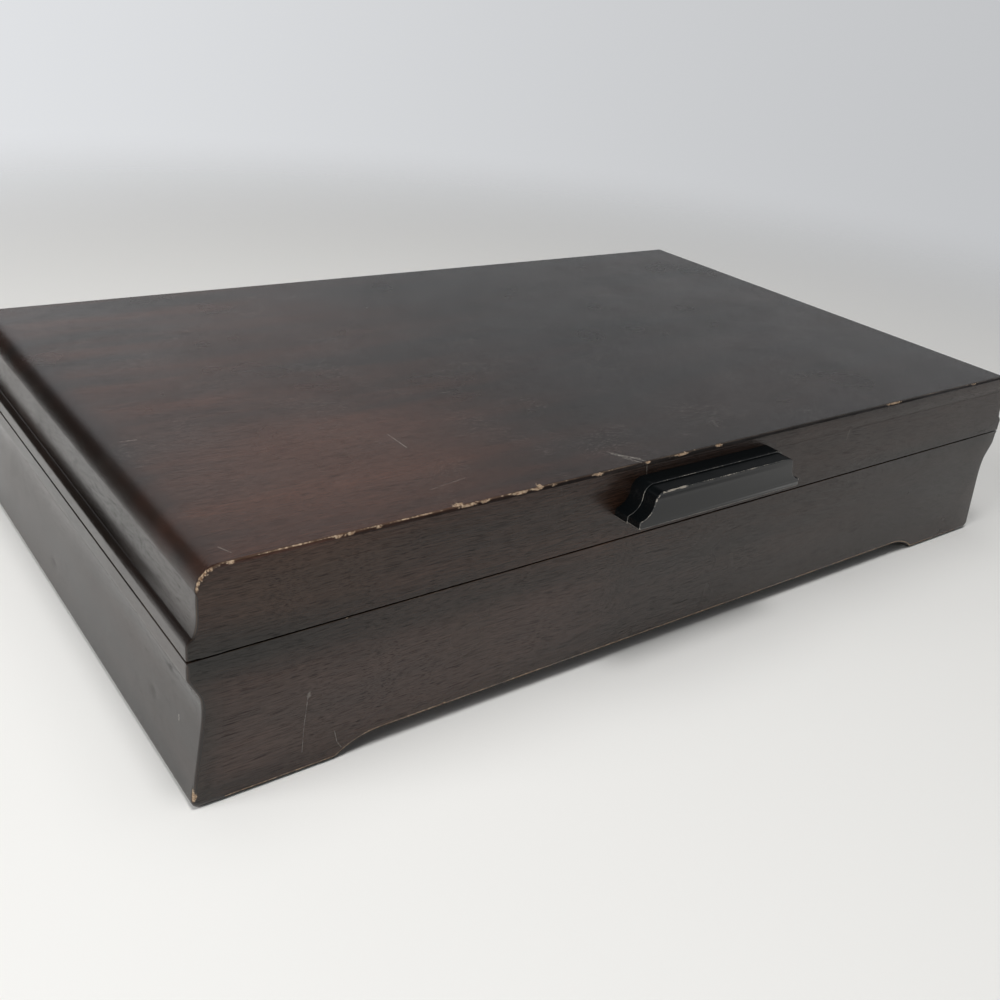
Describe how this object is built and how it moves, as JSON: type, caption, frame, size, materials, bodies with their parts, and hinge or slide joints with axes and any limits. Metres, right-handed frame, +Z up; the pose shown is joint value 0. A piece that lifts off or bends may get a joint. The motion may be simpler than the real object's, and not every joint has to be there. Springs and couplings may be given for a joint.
{
  "type": "silverware chest",
  "caption": "Low wooden silverware chest with moulded ends, an arched front, a lid on stop hinges with a black finger pull, and flannel lined racks inside.",
  "frame": {"origin": "middle of the whole shut chest, pull and hinges included, at table level", "axes": "+X to the right along the front, +Y from the front with the pull to the back with the hinges, +Z up"},
  "size_m": [0.433, 0.2702, 0.088],
  "materials": {
    "mahogany": "dark stained, satin lacquer, worn at the arrises",
    "black_lacquer": "ebonised, glossy",
    "plywood": "bare",
    "flannel": "brushed flannel over card",
    "flannel_rack": "brushed flannel over softwood",
    "brass": "dull, tarnished",
    "steel": "plain"
  },
  "bodies": {
    "base": {"left_hinge_base_leaf": "brass", "left_hinge_pin": "brass", "right_hinge_base_leaf": "brass", "right_hinge_pin": "brass", "base_hinge_screws": "brass", "base_front_board": "mahogany", "base_back_board": "mahogany", "base_right_end": "mahogany", "base_left_end": "mahogany", "bottom_panel": "plywood", "base_floor_lining": "flannel", "base_front_lining": "flannel", "base_back_lining": "flannel", "base_right_lining": "flannel", "base_left_lining": "flannel", "serving_divider": "flannel_rack", "front_rack": "flannel_rack", "rear_rack": "flannel_rack"},
    "lid": {"left_hinge_lid_leaf": "brass", "right_hinge_lid_leaf": "brass", "lid_hinge_screws": "brass", "lid_back_board": "mahogany", "lid_right_end": "mahogany", "lid_left_end": "mahogany", "lid_top_board": "mahogany", "lid_pull": "black_lacquer", "pull_screws": "steel", "lid_front_board": "mahogany", "lid_top_lining": "flannel", "lid_front_lining": "flannel", "lid_back_lining": "flannel", "lid_right_lining": "flannel", "lid_left_lining": "flannel", "knife_rack": "flannel_rack", "tip_rack": "flannel_rack"}
  },
  "joints": [
    {"name": "lid_hinge", "type": "hinge", "parent": "base", "child": "lid", "pos_m": [0, 0.13173, 0.0572], "axis": [-1, 0, 0], "range_deg": [0, 100]}
  ]
}
